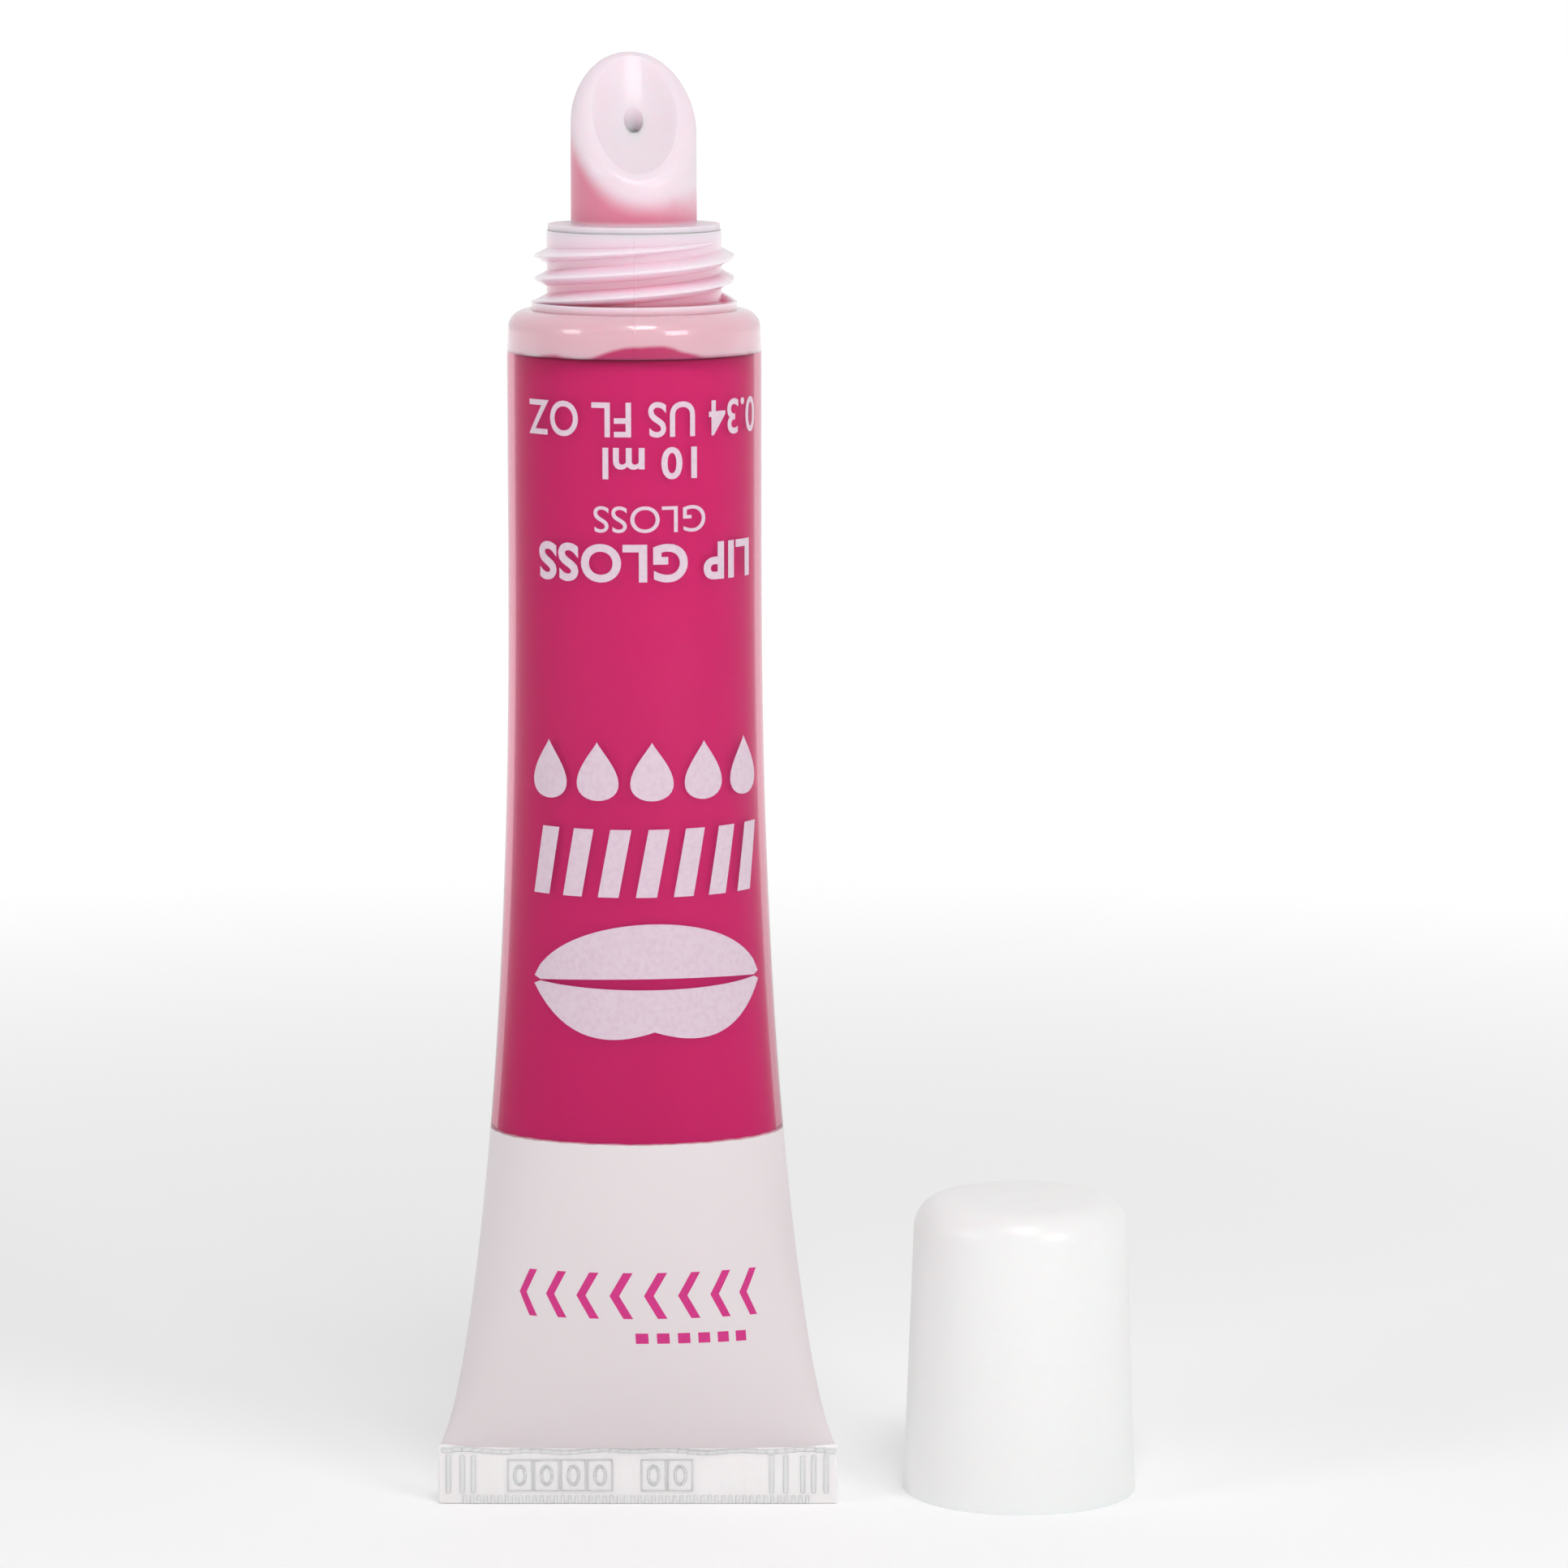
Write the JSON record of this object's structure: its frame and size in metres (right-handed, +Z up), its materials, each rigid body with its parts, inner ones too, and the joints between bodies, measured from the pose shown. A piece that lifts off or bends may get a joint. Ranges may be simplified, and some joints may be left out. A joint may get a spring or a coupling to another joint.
{
  "type": "lip gloss tube",
  "caption": "Soft squeeze tube of lip gloss with a crimped foot, a threaded neck, a slanted applicator and a lift-off screw cap.",
  "frame": {"origin": "centre of the crimp's foot, where the tube stands", "axes": "+Z up along the tube's axis, X along the crimp, and the printed front faces -Y"},
  "size_m": [0.0451, 0.0197, 0.0929],
  "materials": {
    "sleeve_film": "clear film, printed, satin",
    "frosted_plastic": "frosted, translucent",
    "gloss": "thick liquid, glossy",
    "cap_plastic": "smooth satin white"
  },
  "bodies": {
    "tube": {"tube_sleeve": "sleeve_film", "threaded_head": "frosted_plastic", "applicator_tip": "frosted_plastic", "gloss_fill": "gloss"},
    "cap": {"screw_cap": "cap_plastic"}
  },
  "joints": [
    {"name": "cap_lift", "type": "slide", "parent": "tube", "child": "cap", "axis": [0, 0, 1], "range_m": [0, 0.1]}
  ]
}
